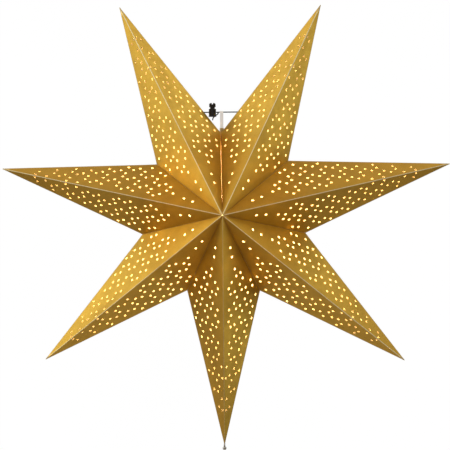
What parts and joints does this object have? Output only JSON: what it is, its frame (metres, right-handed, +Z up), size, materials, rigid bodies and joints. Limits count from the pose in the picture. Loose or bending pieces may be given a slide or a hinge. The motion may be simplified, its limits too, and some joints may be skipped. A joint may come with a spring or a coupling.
{
  "type": "paper star lantern",
  "caption": "Folded gold card star with seven hollow perforated points, glued at the valleys, drawn shut by a cord with a cord lock and lit by a hanging bulb.",
  "frame": {"origin": "the middle of the drawstring, where a hook takes the star", "axes": "+X right and +Z up in the star's plane as seen from the front, +Y to the back"},
  "size_m": [0.5374, 0.1652, 0.5291],
  "materials": {
    "gold_card": "satin metallic gold outside, white inside",
    "black_cord": "matte braided cord",
    "black_plastic": "gloss",
    "spring_steel": "plain wire",
    "white_strap": "matte woven tape",
    "white_plastic": "semi-gloss moulded",
    "block_plastic": "matte moulded",
    "brass_sheet": "plain pressed sheet",
    "opal_bulb": "opal, lit warm white",
    "steel": "turned, satin"
  },
  "bodies": {
    "star": {"point_upper_right": "gold_card", "point_right": "gold_card", "point_lower_right": "gold_card", "point_bottom": "gold_card", "point_lower_left": "gold_card", "point_left": "gold_card", "point_upper_left": "gold_card", "drawstring_right": "black_cord", "drawstring_left": "black_cord", "cord_lock_barrel": "black_plastic", "cord_lock_spring": "spring_steel", "lamp_strap": "white_strap", "lampholder_cap": "white_plastic", "lampholder_sleeve": "white_plastic", "contact_block": "block_plastic", "screw_shell": "brass_sheet", "centre_contact": "brass_sheet", "bulb": "opal_bulb", "tip_finial": "steel", "tip_pin": "steel"},
    "plunger": {"cord_lock_plunger": "black_plastic"}
  },
  "joints": [
    {"name": "plunger_press", "type": "slide", "parent": "star", "child": "plunger", "axis": [0, 0, -1], "range_m": [0, 0.0016], "stiffness_N_per_m": 800, "springref_m": -0.002, "deforming": ["cord_lock_spring"]}
  ]
}
